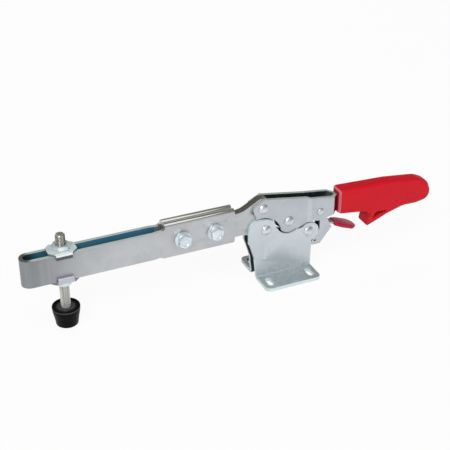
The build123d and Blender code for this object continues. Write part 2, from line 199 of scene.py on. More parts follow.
class Finish(Recipe):
    """A material; the constants are set on its Principled shader's own sockets."""

    def __init__(self, name, **constants):
        self.material = bpy.data.materials.new(name)
        self.material.use_nodes = True
        super().__init__(self.material.node_tree, "Principled BSDF")
        for label, value in constants.items():
            self.last.inputs[label.replace("_", " ")].default_value = value
        self.place = self.node("ShaderNodeTexCoord", output="Object")

    def noise(self, stretch, detail, rough):
        """Noise with so many waves per metre along X, Y and Z."""
        at = self.node("ShaderNodeMapping", {}, {"Vector": self.place, "Scale": stretch})
        return self.node("ShaderNodeTexNoise", {}, {"Vector": at, "Scale": 1.0, "Detail": detail,
                                                    "Roughness": rough})

    def coordinate(self, axis):
        """A point's place along X, Y or Z, in metres."""
        return self.node("ShaderNodeSeparateXYZ", {}, {0: self.place}, output=axis)

    def past(self, axis, low, high):
        """0 below low along an axis, 1 above high; both are in millimetres."""
        return self.ramp(self.coordinate(axis), low * MM, high * MM)

    def mask(self, name):
        """A number kept on the mesh, one for each face."""
        return self.node("ShaderNodeAttribute", {"attribute_name": name}, output="Fac")

    def bump(self, height, depth_mm):
        """Raise the surface by up to depth_mm where height is 1."""
        self.feed("Normal", self.node("ShaderNodeBump", {}, {
            "Height": height, "Distance": depth_mm * MM, "Strength": 1.0}))


print("Finish adds", ", ".join(name for name in vars(Finish) if not name.startswith("_")))

# %% [markdown]
# Zinc plate looks different where the sheet was rolled and where it was sheared, and some faces get
# painted light.  Those places follow the shape, so they are worked out from each face's direction
# and middle and kept as attributes on the mesh: cut for the sheared edges, inside for the walls
# that face each other across a slot, which get painted shade, glossy for the tight folds that the
# press tool has burnished, which also get a painted highlight, and under for the edges that look
# down, which get painted shade.

# %% Numbers kept on faces
def faces_of(mesh):
    """Unit normals and middles of all faces, in millimetres, as two arrays with one row a face."""
    normal = np.empty(len(mesh.polygons) * 3, np.float32)
    middle = np.empty(len(mesh.polygons) * 3, np.float32)
    mesh.polygons.foreach_get("normal", normal)
    mesh.polygons.foreach_get("center", middle)
    return normal.reshape(-1, 3), middle.reshape(-1, 3) / MM


def keep_mask(mesh, name, mask):
    """Store one number a face as a named attribute."""
    layer = mesh.attributes.new(name, "FLOAT", "FACE")
    layer.data.foreach_set("value", np.asarray(mask, np.float32))


print("front base plate:", len(faces_of(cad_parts["base_plate_front"].data)[0]), "triangles")

# %% [markdown]
# Simple tests tell which face is which.  A sheared edge looks along the sheet and not across it, a
# wall inside a slot looks at the middle line, and a burnished fold lies high on the rolled part.

# %% Masks for each kind of sheet
# Places in the frame, in millimetres.
FOOT_TOP, FOLD_TOP = 3.1, 4.6         # the base's foot, and the bend between it and the wall
SLOT_HALF, SLOT_END = 4.5, -104.0     # the bar's long slot: half its width and where it ends
NOSE_CENTRE = -217.7                  # the middle of the bend at the bar's nose
ROLLED_FROM = 68.6                    # above this the bar is rolled over the arm
HOLE_REACH = 9.0                      # a washer's hole and notches lie nearer to the middle line
EARS_FROM = 60.0                      # the upper washer's ears are above this
EAR_ENDS = (46.5, 66.0)               # an edge that looks down between these ends an ear


def upright_masks(normal, middle):
    """Plates that stand across Y: cut is |ny| < 0.6, inside is a face that looks at Y = 0, and
    under is an edge that looks down."""
    cut = np.abs(normal[:, 1]) < 0.6
    inside = normal[:, 1] * np.sign(middle[:, 1]) < -0.5
    return {"cut": cut, "inside": inside, "glossy": 0 * cut,
            "under": (normal[:, 2] < -0.2) & (np.abs(normal[:, 1]) < 0.9)}


def base_masks(normal, middle):
    """As upright plates above the fold, and cut where |nz| < 0.5 in the foot below it."""
    masks = upright_masks(normal, middle)
    foot = middle[:, 2] < FOOT_TOP
    fold = (middle[:, 2] < FOLD_TOP) & (np.abs(normal[:, 0]) < 0.5)
    masks["cut"] = np.where(foot, np.abs(normal[:, 2]) < 0.5, masks["cut"] & ~fold)
    masks["under"] &= ~foot
    return masks


def bar_masks(normal, middle):
    """Inside is nearer to the middle line than the inner wall: |y|, or the distance from the nose's
    centre in front of it.  The folds that look up on the rolled part are glossy."""
    ahead = np.minimum(middle[:, 0] - NOSE_CENTRE, 0)
    off_line = np.hypot(ahead, middle[:, 1])
    edge = np.abs(normal[:, 2]) > 0.6
    rolled = middle[:, 2] > ROLLED_FROM
    inside = (off_line < SLOT_HALF) & ~edge & (middle[:, 0] < SLOT_END) & ~rolled
    return {"cut": edge & ~rolled, "inside": inside, "under": 0 * edge,
            "glossy": rolled & (normal[:, 2] > 0.25)}


def ear_masks(normal, middle):
    """Washer: cut where it is neither a top face nor an ear's outer face; glossy in its bends."""
    sideways, along, up = np.abs(normal).T
    flat = np.maximum(up, along)
    cut = (sideways > 0.5) | ((np.abs(middle[:, 1]) < HOLE_REACH) & (up < 0.5))
    cut |= (normal[:, 2] < -0.9) & (middle[:, 2] > EAR_ENDS[0]) & (middle[:, 2] < EAR_ENDS[1])
    return {"cut": cut, "inside": (along > 0.9) & (middle[:, 2] > EARS_FROM),
            "glossy": (flat < 0.93) & ~cut, "under": 0 * cut}


print("masks: cut, inside, glossy, under")

# %% [markdown]
# Zinc plate on rolled sheet is a pale blue-grey metal, dull rather than mirror-like.  It has faint
# streaks along the rolling direction, a fine crystal mottle and soft blotches where the passivation
# dried unevenly.  Sheared edges are paler and rougher, and the burnished folds are nearly mirrors
# that also get a pale painted highlight.  Edges that look down get a dark painted shade, and walls
# that face each other get painted shade: navy between the plates, and in the long slot a blue film
# darkened as painted shade.

# %% Zinc plated sheet
# Painted highlight for the burnished folds, and painted shade for the edges that look down.
BURNISHED_HIGHLIGHT = (0.82, 0.83, 0.77, 1)
UNDERSIDE_SHADE = (0.14, 0.15, 0.16, 1)


def zinc_sheet(name, low, high, edge, inside, local=None, edge_metal=0.45, edge_rough=0.06,
               inside_metal=0.3, metal=0.88, under=UNDERSIDE_SHADE):
    """local repaints the flat faces; edge and inside are a colour, or make one from the finish."""
    zinc = Finish(name)
    blotch = zinc.noise((62, 62, 62), 3.0, 0.55)
    streak = zinc.noise((130, 2600, 2600), 2.0, 0.5)
    mottle = zinc.noise((1100, 1100, 1100), 2.0, 0.7)
    body = 0.45 * zinc.ramp(blotch, 0.32, 0.68) + 0.25 * streak + 0.30 * zinc.ramp(mottle, 0.3, 0.7)
    colour = zinc.blend(body, low, high)
    if local:
        colour = local(zinc, colour)
    cut, inside_shade, glossy = zinc.mask("cut"), zinc.mask("inside"), zinc.mask("glossy")
    colour = zinc.blend(cut, colour, edge(zinc) if callable(edge) else edge)
    # The under mask paints shade on edges that look down, the glossy mask paints a highlight on the
    # folds, and the inside mask paints shade on walls that face each other.
    colour = zinc.blend(0.8 * zinc.mask("under"), colour, under)
    colour = zinc.blend(0.8 * glossy, colour, BURNISHED_HIGHLIGHT)
    colour = zinc.blend(inside_shade, colour, inside(zinc) if callable(inside) else inside)
    zinc.feed("Base Color", colour)
    zinc.feed("Metallic", metal - (metal - inside_metal) * inside_shade - (metal - edge_metal) * cut)
    zinc.feed("Roughness", (0.33 + 0.12 * blotch + 0.07 * mottle) * (1 - 0.80 * glossy)
              + edge_rough * cut)
    zinc.bump((0.5 * streak + 0.5 * mottle) * (1 - 0.85 * glossy), 0.014)
    return zinc.material


print("zinc_sheet makes a finish from two body colours, an edge and an inside")

# %% [markdown]
# Every pressing then gets its own local marks.  Most are painted light: painted reflections on the
# foot and the nose, a painted highlight on the plates' step, a painted red reflection on the taper,
# painted shade on the arm's edges, between the plates, in the slot and on the lower washer, and
# painted reflection and highlight on the upper washer's ears.  Each local mark is a band between
# two places along the frame, with a soft start and a soft end.

# %% Marks on the zinc
def foot_reflection_mottle(zinc, colour):
    """Near the fold of the base a greenish grey is painted, which breaks up upwards: a painted
    reflection of the wall in the foot, and of the floor's shade low on the wall.
    """
    height = zinc.coordinate("Z")
    patch = zinc.noise((330, 330, 330), 5.0, 0.75)
    low = 1 - zinc.ramp(height + 0.022 * (patch - 0.5), 0.004, 0.022)
    foot = 0.22 * (1 - zinc.past("Z", 3.2, 5.0))
    return zinc.blend(foot + low * (0.08 + 0.50 * zinc.ramp(patch, 0.42, 0.62)), colour,
                      (0.34, 0.41, 0.405, 1))


def step_highlight_and_red_reflection(zinc, colour):
    """A painted highlight brightens the slanted step of the plates, and crimson painted over the
    taper at their end is a painted reflection of the red grip."""
    step = zinc.past("X", 20.5, 21.5) * (1 - zinc.past("X", 23.8, 25.6))
    colour = zinc.blend(0.22 * step, colour, (0.80, 0.83, 0.86, 1))
    return zinc.blend(zinc.past("X", 46.1, 46.5), colour, (0.26, 0.012, 0.035, 1))


def arm_edge_shade(zinc):
    """The arm's back is burnished; its edges down between the walls are painted black as painted
    shade.
    """
    shown = 1 - zinc.past("X", -34, -30) * (1 - zinc.past("Z", 62, 64))
    return zinc.blend(shown, (0.015, 0.018, 0.018, 1), (0.36, 0.345, 0.315, 1))


def nose_reflection_bands(zinc, colour):
    """The nose is painted darker, with faint bands across the grain that fade out along the bar:
    painted reflections of the room in the bent sheet."""
    bend = 1 - zinc.past("X", -232, -150)
    band = zinc.ramp(zinc.noise((190, 40, 10), 3.0, 0.55), 0.35, 0.65)
    return zinc.blend(bend * (0.79 + 0.12 * band), colour, (0.215, 0.23, 0.245, 1))


def between_plates(zinc):
    """Nearly black where little light gets in, with faint blue-grey clouds."""
    cloud = zinc.ramp(zinc.noise((90, 90, 90), 3.0, 0.6), 0.42, 0.72)
    return zinc.blend(cloud * zinc.past("X", -12, 26), (0.008, 0.014, 0.018, 1),
                      (0.085, 0.13, 0.145, 1))


def slot_film_and_shade(zinc):
    """Blue film inside the long slot, darkened as painted shade, and painted black where the nose
    shades it.
    """
    cloud = zinc.noise((50, 50, 140), 2.0, 0.5)
    deep = zinc.blend(cloud, (0.030, 0.13, 0.205, 1), (0.050, 0.175, 0.255, 1))
    return zinc.blend(1 - zinc.past("X", -218.5, -206.0), deep, (0.010, 0.022, 0.026, 1))


def nose_rim(zinc):
    """The bar's top edge: pale along the straight sides, dark olive round the nose."""
    return zinc.blend(1 - zinc.past("X", -220.5, -215.0), (0.60, 0.70, 0.68, 1),
                      (0.13, 0.14, 0.115, 1))


def lower_washer_shade(zinc, colour):
    """The lower washer is painted duller than the upper one, as dull as the bar beside it: painted
    shade.
    """
    return zinc.blend(1 - zinc.past("Z", 52, 60), colour, (0.50, 0.525, 0.58, 1))


def ear_reflection_and_highlight(zinc):
    """The outer face of the upper ears: painted dark as a painted reflection, with a bright painted
    highlight in a band under the bend.
    """
    return zinc.blend(zinc.past("Z", 67.4, 68.2), (0.085, 0.08, 0.08, 1), (0.86, 0.89, 0.90, 1))


print("nine local marks")

# %% [markdown]
# Seven finishes come out of the one recipe.  They differ in tone because the pressings are of
# different gauges and left the bath at different times, and the links are painted near black as
# painted shade, since they sit in the dark between the plates.

# %% The seven zinc finishes
# Painted shade: navy on walls that face each other between the plates.
PAINTED_SHADE_NAVY = (0.008, 0.014, 0.022, 1)
base_finish = zinc_sheet("zinc_base_finish", (0.52, 0.57, 0.61, 1), (0.65, 0.70, 0.745, 1),
                         (0.64, 0.74, 0.76, 1), PAINTED_SHADE_NAVY, foot_reflection_mottle, edge_metal=0.1, metal=0.54)
# The handle's edges that look down get a near black painted shade.
handle_finish = zinc_sheet("zinc_handle_finish", (0.47, 0.505, 0.545, 1), (0.60, 0.635, 0.675, 1),
                           (0.52, 0.58, 0.53, 1), between_plates, step_highlight_and_red_reflection,
                           under=(0.015, 0.035, 0.040, 1))
arm_finish = zinc_sheet("zinc_arm_finish", (0.49, 0.515, 0.54, 1), (0.63, 0.65, 0.675, 1),
                        arm_edge_shade, PAINTED_SHADE_NAVY, edge_metal=0.9, edge_rough=-0.14)
# The links are painted near black all over: painted shade.
link_shade_finish = zinc_sheet("zinc_link_shade_finish", (0.02, 0.03, 0.035, 1), (0.05, 0.06, 0.07, 1),
                         (0.02, 0.03, 0.035, 1), PAINTED_SHADE_NAVY, metal=0.4, edge_metal=0.4)
bar_finish = zinc_sheet("zinc_bar_finish", (0.48, 0.495, 0.52, 1), (0.62, 0.635, 0.66, 1),
                        nose_rim, slot_film_and_shade, nose_reflection_bands, inside_metal=0.1)
latch_finish = zinc_sheet("zinc_latch_finish", (0.48, 0.515, 0.555, 1), (0.61, 0.645, 0.685, 1),
                          (0.30, 0.32, 0.29, 1), PAINTED_SHADE_NAVY)
washer_finish = zinc_sheet("zinc_washer_finish", (0.62, 0.71, 0.74, 1), (0.80, 0.89, 0.91, 1),
                           (0.16, 0.22, 0.24, 1), ear_reflection_and_highlight, lower_washer_shade, metal=0.35)
print("seven zinc sheet finishes")

# %% [markdown]
# Rivets are cold headed: the die leaves a smooth bright dome with soft clouds of tone.  The spindle
# is turned and zinc plated, darker and warmer than the sheet, with streaks along its length; bolts
# and nuts are paler and less like mirrors.

# %% Rivet and screw steel
def headed_steel(name, low, high, roughness, metal, grain=(120, 120, 120)):
    """Bright metal in two tones; grain is how many clouds a metre holds along X, Y and Z."""
    steel = Finish(name, Metallic=metal)
    cloud = steel.ramp(steel.noise(grain, 2.0, 0.5), 0.3, 0.7)
    fine = steel.noise((2400, 2400, 2400), 2.0, 0.5)
    steel.feed("Base Color", steel.blend(cloud, low, high))
    steel.feed("Roughness", roughness + 0.10 * cloud + 0.05 * fine)
    steel.bump(fine, 0.006)
    return steel.material


rivet_finish = headed_steel("rivet_steel_finish", (0.60, 0.64, 0.67, 1), (0.76, 0.79, 0.81, 1),
                            roughness=0.27, metal=0.80)
screw_finish = headed_steel("screw_steel_finish", (0.32, 0.33, 0.29, 1), (0.78, 0.80, 0.74, 1),
                            roughness=0.14, metal=0.75, grain=(520, 520, 18))
nut_finish = headed_steel("nut_steel_finish", (0.56, 0.64, 0.68, 1), (0.78, 0.85, 0.88, 1),
                          roughness=0.16, metal=0.55)
print("rivet, screw and nut finishes")

# %% [markdown]
# The grip is soft red vinyl, moulded with a fine satin skin that shows faint flow lines along its
# length, with a painted highlight on the bevel round its mouth and painted shade on the mouth's
# inner rim; the tab is dipped, a little glossier and more crimson; the cap is black rubber with a
# painted highlight on its rim.

# %% Vinyl and rubber
def vinyl(name, low, high, roughness, gloss, local=None):
    """A soft skin with clouds, flow lines along X and pores; local repaints parts of it."""
    skin = Finish(name, Metallic=0.0, Specular_IOR_Level=gloss)
    cloud = skin.noise((45, 45, 45), 3.0, 0.5)
    flow = skin.noise((30, 380, 380), 2.0, 0.5)
    pores = skin.noise((1800, 1800, 1800), 3.0, 0.6)
    colour = skin.blend(0.45 * cloud + 0.35 * flow + 0.2 * pores, low, high)
    skin.feed("Base Color", local(skin, colour) if local else colour)
    skin.feed("Roughness", roughness + 0.10 * pores + 0.06 * cloud)
    skin.bump(pores, 0.016)
    return skin.material


def mouth_highlight_and_shade(skin, colour):
    """A painted highlight makes the bevel round the mouth pale; painted shade keeps its inner rim
    dark.
    """
    bevel = skin.past("X", 51.8, 52.2) * (1 - skin.past("X", 52.9, 53.6))
    colour = skin.blend(0.75 * bevel, colour, (0.78, 0.26, 0.32, 1))
    return skin.blend(0.9 * (1 - skin.past("X", 51.4, 52.0)), colour, (0.24, 0.010, 0.030, 1))


def rim_highlight_ring(skin, colour):
    """A painted highlight makes the cap's rim a paler grey."""
    ring = skin.past("Z", 14.6, 15.4) * (1 - skin.past("Z", 15.8, 16.4))
    return skin.blend(0.6 * ring, colour, (0.10, 0.10, 0.105, 1))


def dress(finish, *pieces):
    """Give pieces one finish."""
    for piece in pieces:
        piece.data.materials.clear()
        piece.data.materials.append(finish)


grip_finish = vinyl("red_vinyl_finish", (0.48, 0.003, 0.012, 1), (0.64, 0.008, 0.020, 1),
                    roughness=0.42, gloss=0.20, local=mouth_highlight_and_shade)
tab_finish = vinyl("crimson_dip_finish", (0.30, 0.006, 0.032, 1), (0.45, 0.012, 0.055, 1),
                   roughness=0.26, gloss=0.35)
rubber_finish = vinyl("black_rubber_finish", (0.0015, 0.0015, 0.002, 1), (0.005, 0.005, 0.006, 1),
                      roughness=0.24, gloss=0.06, local=rim_highlight_ring)
print("vinyl and rubber finishes")

# %% [markdown]
# Punched sheet never has knife edges: tumbling breaks them to a few tenths of a millimetre, and
# that thin round is what catches the light along every outline.  Each sheet solid is copied, its
# loose triangles are merged into flat faces, and a narrow bevel runs along its sharp edges.

# %% Sheet pieces with broken edges
FLAT, CORNER = 0.6, 35.0    # degrees: a flatter meeting is one face, and a corner bends more
SOLID_MERGE = 1e-6          # metres: a solid's loose triangles meet within this


def broken_edges(node, body, finish, masks, width_mm=0.32):
    """Copy a solid, merge its triangles into flat faces and bevel its corners width_mm wide."""
    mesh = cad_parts[node].data.copy()
    mesh.name = node + "_sheet"
    shell = bmesh.new()
    shell.from_mesh(mesh)
    bmesh.ops.remove_doubles(shell, verts=shell.verts, dist=SOLID_MERGE)
    bmesh.ops.dissolve_limit(shell, angle_limit=math.radians(FLAT), verts=shell.verts,
                             edges=shell.edges)
    sharp = [edge for edge in shell.edges if len(edge.link_faces) == 2
             and edge.calc_face_angle(0.0) > math.radians(CORNER)]
    bmesh.ops.bevel(shell, geom=sharp, offset=width_mm * MM, segments=2, profile=0.5,
                    affect="EDGES", clamp_overlap=True)
    shell.to_mesh(mesh)
    shell.free()
    mark_creases(mesh)
    for name, mask in masks(*faces_of(mesh)).items():
        keep_mask(mesh, name, mask)
    piece = add_object(node + "_sheet", mesh)
    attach(piece, body)
    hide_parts(node)
    dress(finish, piece)
    print(piece.name, len(mesh.polygons), "faces")


for side in ("front", "rear"):
    broken_edges("base_plate_" + side, "base", base_finish, base_masks, 0.5)
    broken_edges("handle_plate_" + side, "handle", handle_finish, upright_masks)
    broken_edges("arm_plate_" + side, "arm", arm_finish, upright_masks, 0.9)
    broken_edges("link_plate_" + side, "link", link_shade_finish, upright_masks)
broken_edges("extension_bar", "arm", bar_finish, bar_masks)
broken_edges("latch_hook", "latch", latch_finish, upright_masks, 0.25)
for level in ("upper", "lower"):
    broken_edges("flanged_washer_" + level, "carriage", washer_finish, ear_masks, 0.25)

# %% [markdown]
# A rivet's head is a button: a short upright rim and a round crown, the same on both ends of the
# shank.  It is one turned profile (r, y), carried once round its axis.  With rim height e and crown
# height c, the crown is part of a sphere of radius (head^2 + c^2) / 2c.

# %% Rivets
def crown(head, height, rim, steps=12):
    """Points (r, h) from the rim to the pole: r = R sin t, h = rim + c - R (1 - cos t)."""
    c = height - rim
    ball = (head ** 2 + c ** 2) / (2 * c)
    t = np.linspace(math.asin(head / ball), 0, steps)
    return np.column_stack([ball * np.sin(t), rim + c - ball * (1 - np.cos(t))])


def button_ends(shank, head, height, seat):
    """Profile (r, y) over both heads, from pole to pole."""
    half = np.concatenate([[[shank, 0.0], [shank, seat], [head - UNDERCUT, seat]],
                           crown(head, height, RIVET_RIM) + [0, seat]])
    return np.concatenate([half[::-1] * [1, -1], half[1:]])


def rivet(node, body, x, z, shank, head, height, seat):
    """A headed pin along Y at (x, z), whose heads sit on walls at y = seat and y = -seat."""
    grid, faces = turned(button_ends(shank, head, height, seat), 64)
    points = np.stack([x + grid[..., 0], grid[..., 2], z + grid[..., 1]], -1)
    piece = make_piece(node + "_headed", body, points, faces, [node], crease=40)
    dress(rivet_finish, piece)


RIVET_RIM, UNDERCUT = 0.45, 0.15                          # a head's upright rim and its underside
OUTER_WALL, HANDLE_WALL, JOGGLED_WALL = 6.5, 6.55, 7.8    # half the distance between outer faces
BIG_HEAD, SMALL_HEAD = (4.4, 2.7), (3.0, 1.8)             # radius and height
# node, body, x, z, the shank's radius, head, wall
rivet("arm_pivot_rivet", "base", -17.3, 47.2, 3.0, *BIG_HEAD, OUTER_WALL)
rivet("base_link_rivet", "base", 22.9, 36.8, 3.0, *BIG_HEAD, OUTER_WALL)
rivet("handle_pivot_rivet", "handle", -20.4, 67.9, 3.0, *BIG_HEAD, HANDLE_WALL)
rivet("link_pivot_rivet", "handle", 4.0, 50.6, 2.5, *BIG_HEAD, HANDLE_WALL)
rivet("latch_rivet", "handle", 33.3, 54.0, 2.0, *SMALL_HEAD, JOGGLED_WALL)

# %% [markdown]
# A small round boss is pressed out of the base's front wall, left of the middle.  It is the same
# crown as a rivet's, lower and without a shank.

# %% Boss
BOSS_AT = np.array([-17.7, -6.3, 19.6])
grid, faces = turned(np.concatenate([[[0.0, 0.2], [2.0, 0.2]], crown(2.0, 0.95, 0.1, 8)]), 40)
boss = make_piece("pressed_boss", "base",
                  BOSS_AT + np.stack([grid[..., 0], -grid[..., 2], grid[..., 1]], -1), faces)
dress(rivet_finish, boss)

# %% [markdown]
# The spindle is a rolled thread: a helix of ridges, worn to small flats.  Along the rod the depth
# is d(z) = D * tri(z / pitch - a / 360), where tri is a triangle wave clipped at both ends and a is
# the angle round the rod.  Below the lower nut the ridges are worn to less than half their depth.

# %% Spindle
SPINDLE_X = -191.4


def threaded_rod(radius, low, high, thread_from, full_from, pitch, depth, point):
    """r(a, z) = radius - depth * clip(1.35 |2 frac(z/pitch - a/360) - 1| - 0.17, 0, 1), and the
    end is turned to a cone point mm high."""
    plain = np.linspace(low, thread_from, 6, endpoint=False)
    fine = np.linspace(thread_from, high, int((high - thread_from) / pitch * ROWS_A_TURN))
    z = np.concatenate([plain, fine])
    a = np.linspace(0, 2 * np.pi, ROD_SIDES, endpoint=False)
    turn = (z[:, None] / pitch - a[None, :] / (2 * np.pi)) % 1.0
    groove = np.clip(1.35 * np.abs(2 * turn - 1) - 0.17, 0, 1)
    fade = np.clip((z - thread_from) / pitch, 0, 1) * (
        WORN + (1 - WORN) * np.clip(z - full_from, 0, 1))
    r = radius - depth * groove * fade[:, None]
    r = np.minimum(r, radius - np.clip(z - (high - point), 0, None)[:, None])
    grid = np.stack([r * np.cos(a), r * np.sin(a), z[:, None] + 0 * a], -1)
    ends = [np.stack([0 * a, 0 * a, 0 * a + end], -1)[None] for end in (low, high)]
    return (np.concatenate([ends[0], grid, ends[1]]),
            grid_faces(len(z) + 2, ROD_SIDES, False, True))


ROWS_A_TURN, ROD_SIDES = 12, 48
WORN = 0.4    # the share of a ridge's height that is left below full_from
grid, faces = threaded_rod(radius=4.0, low=6.0, high=82.8, thread_from=16.0, full_from=44.0,
                           pitch=1.25, depth=0.62, point=0.8)
rod = make_piece("threaded_spindle", "spindle", grid + [SPINDLE_X, 0, 0], faces,
                 ["spindle"])
dress(screw_finish, rod)

# %% [markdown]
# The cap is a rubber thimble pushed over the end of the spindle: a dished top, a rounded rim, a
# shoulder ring where the mould parts, and a taper to the flat face that presses on the work.  It is
# one profile (r, z), from the middle of that face up the outside and down into the bore.

# %% Rubber cap
def arc(centre, radius, start, end, steps):
    """Points (r, z) on a circle from one angle to another, in degrees."""
    a = np.radians(np.linspace(start, end, steps))
    return np.stack([centre[0] + radius * np.cos(a), centre[1] + radius * np.sin(a)], -1)


cap_profile = np.concatenate([
    [[0.0, 0.0], [4.0, 0.0]], arc((8.15, 1.0), 1.0, -90, -8, 8), [[9.35, 3.0], [9.75, 5.4]],
    [[10.0, 7.0], [10.25, 8.6]], arc((10.15, 9.2), 0.35, -60, 40, 6), [[10.6, 10.2], [11.1, 12.0]],
    arc((10.5, 15.9), 0.9, 0, 90, 9), [[9.6, 16.6], [7.0, 16.0], [5.4, 15.7], [4.6, 15.6],
                                      [4.3, 15.9], [4.02, 15.9], [4.02, 6.5], [0.0, 6.5]]])
grid, faces = turned(cap_profile, 96)
cap = make_piece("rubber_cap", "spindle", grid + [SPINDLE_X, 0, 0], faces,
                 ["spindle_cap"])
dress(rubber_finish, cap)

# %% [markdown]
# A nut is a hexagon whose ends are turned to a 30 degree cone, which leaves the curved arcs on its
# flats.  In polar form the flats are r(a) = (AF/2) / cos(a'), where a' is the angle from the middle
# of the nearest flat, and the cone lowers each corner by (r - r0) tan 30.

# %% Nuts
AROUND = np.linspace(0, 2 * np.pi, 97)[:-1]   # the angles of a nut's or a head's 96 columns
CONE = math.tan(math.radians(30))


def hexagon_radius(across, turn=0.0):
    """Distance from the axis to a hexagon's flat at each angle a: (across / 2) / cos(a')."""
    off = (AROUND - turn + np.pi / 6) % (np.pi / 3) - np.pi / 6
    return across / 2 / np.cos(off)


def ringed(rows, closed):
    """Rows (radius, height), each a number or one value an angle, carried round the Z axis."""
    grid = np.stack([np.stack([r * np.cos(AROUND), r * np.sin(AROUND), z + 0 * AROUND], -1)
                     for r, z in rows])
    return grid, grid_faces(len(rows), len(AROUND), closed, True)


def nut_grid(across, height, bore, turn):
    """Rows: bore, lower face, lower cone, upper cone, upper face, bore again."""
    r = hexagon_radius(across, turn)
    start = across / 2 * 0.965
    drop = (r - start) * CONE
    return ringed([(bore, 0.9), (bore + 0.5, 0), (start, 0), (r, drop), (r, height - drop),
                   (start, height), (bore + 0.5, height), (bore, height - 0.9)], closed=True)


for node, low in (("spindle_nut_upper", 70.2), ("spindle_nut_lower", 38.3)):
    grid, faces = nut_grid(across=13.0, height=4.0, bore=4.06, turn=math.radians(30))
    nut = make_piece(node + "_turned", "carriage", grid + [SPINDLE_X, 0, low],
                     faces, [node], crease=20)
    dress(nut_finish, nut)

# %% [markdown]
# The two bolts that hold the arm have a washer forged onto the head.  From the washer's rim the
# shoulder climbs in a cone to the hexagon, whose top is chamfered and slightly dished.

# %% Flange bolts and nuts
def flange_head(across, flange, height, bore=0.0):
    """Rows from the seat outwards, over the flange, up the hexagon and in over its top."""
    r = hexagon_radius(across)
    start = across / 2 * 0.95
    drop = (r - start) * CONE
    return ringed([(bore, 0), (flange - 0.3, 0), (flange, 0.3), (flange, 0.9), (flange - 0.3, 1.2),
                   (np.maximum(r, 5.2), 1.9), (r, 2.1), (r, height - drop), (start, height),
                   (3.4, height - 0.05), (3.1, height - 0.4), (bore, height - 0.4)], closed=False)


def laid_along_y(grid, x, seat, side):
    """Turn a grid made along +Z to point along side * Y from the wall at y = seat."""
    return np.stack([x + grid[..., 0], seat + side * grid[..., 2], BOLT_Z + grid[..., 1]], -1)


BOLT_Z, BAR_WALL = 57.3, 6.5
for label, x in (("outer", -92.5), ("inner", -64.0)):
    head, faces = flange_head(across=10.0, flange=7.1, height=6.6)
    shank, shank_faces = threaded_rod(radius=3.0, low=0.0, high=21.0, thread_from=12.0,
                                      full_from=12.0, pitch=1.0, depth=0.5, point=0.6)
    head = laid_along_y(head, x, -BAR_WALL, -1)
    shank = laid_along_y(shank, x, -BAR_WALL, 1)
    points = np.concatenate([head.reshape(-1, 3), shank.reshape(-1, 3)])
    faces = np.concatenate([faces, shank_faces + head.size // 3])
    bolt = make_piece("flange_bolt_" + label, "arm", points, faces,
                      ["extension_bolt_" + label], crease=22)
    grid, faces = flange_head(across=10.0, flange=7.1, height=6.0, bore=3.03)
    nut = make_piece("flange_nut_" + label, "arm",
                     laid_along_y(grid, x, BAR_WALL, 1), faces,
                     ["extension_nut_" + label], crease=22)
    dress(nut_finish, bolt, nut)

# %% [markdown]
# The grip is one soft moulding: its side outline runs round the back, the tail, the spur and the
# mouth, and all its edges are rounded, generously along the back where the palm lies and tightly at
# the spur.  The outline's points move inwards by r (1 - cos t) while they climb to the side face by
# r sin t, and r itself changes along the outline.

# %% Outlines with rounded corners
def rounded_outline(corners, spacing):
    """Points every spacing mm along a closed outline of corners (x, z, radius), and the corner that
    each point is nearest to.  A corner of angle g and radius r starts r / tan(g/2) before it."""
    c = np.array([[x, z] for x, z, _ in corners], float)
    radius = np.array([r for _, _, r in corners], float)
    before = np.roll(c, 1, 0) - c
    after = np.roll(c, -1, 0) - c
    before /= np.linalg.norm(before, axis=1)[:, None]
    after /= np.linalg.norm(after, axis=1)[:, None]
    half = np.arccos(np.clip((before * after).sum(1), -1, 1)) / 2
    reach = radius / np.tan(half)
    middle = before + after
    middle /= np.linalg.norm(middle, axis=1)[:, None]
    centre = c + middle * (radius / np.sin(half))[:, None]
    path, owner = [], []
    for k in range(len(c)):
        first, last = c[k] + before[k] * reach[k], c[k] + after[k] * reach[k]
        steps = max(2, int(radius[k] * (np.pi - 2 * half[k]) / spacing) + 2)
        t = np.linspace(0, 1, steps)[:, None]
        chord = first + (last - first) * t
        away = chord - centre[k]
        bend = centre[k] + away / np.linalg.norm(away, axis=1)[:, None] * radius[k]
        nxt = (k + 1) % len(c)
        goal = c[nxt] + before[nxt] * reach[nxt]
        runs = max(2, int(np.linalg.norm(goal - last) / spacing))
        line = last + (goal - last) * np.linspace(0, 1, runs + 1)[1:-1, None]
        path += [bend, line]
        owner += [np.full(len(bend), k), k + np.linspace(0, 1, len(line) + 2)[1:-1]]
    return np.concatenate(path), np.concatenate(owner)


def outward(path):
    """Unit normals of a closed path, pointing away from its inside."""
    tangent = np.roll(path, -1, 0) - np.roll(path, 1, 0)
    tangent /= np.linalg.norm(tangent, axis=1)[:, None]
    normal = np.stack([tangent[:, 1], -tangent[:, 0]], -1)
    area = np.sum(path[:, 0] * np.roll(path[:, 1], -1) - path[:, 1] * np.roll(path[:, 0], -1))
    return normal * np.sign(area)


def rounded_slab(path, half, radius, steps):
    """Rows from one side face over the rim to the other: each row is the path moved inwards by
    radius * (1 - cos t), at height +-(half - radius * (1 - sin t)), t from 0 to 90 degrees."""
    normal = outward(path)
    t = np.radians(np.linspace(90, 0, steps))[:, None, None]
    r = np.broadcast_to(radius, len(path))[None, :, None]
    h = np.broadcast_to(half, len(path))[None, :, None]
    flat = path[None] - normal[None] * r * (1 - np.cos(t))
    high = h - r * (1 - np.sin(t))
    upper = np.concatenate([flat, high], -1)
    lower = np.concatenate([flat, -high], -1)[::-1]
    return np.concatenate([upper, lower])


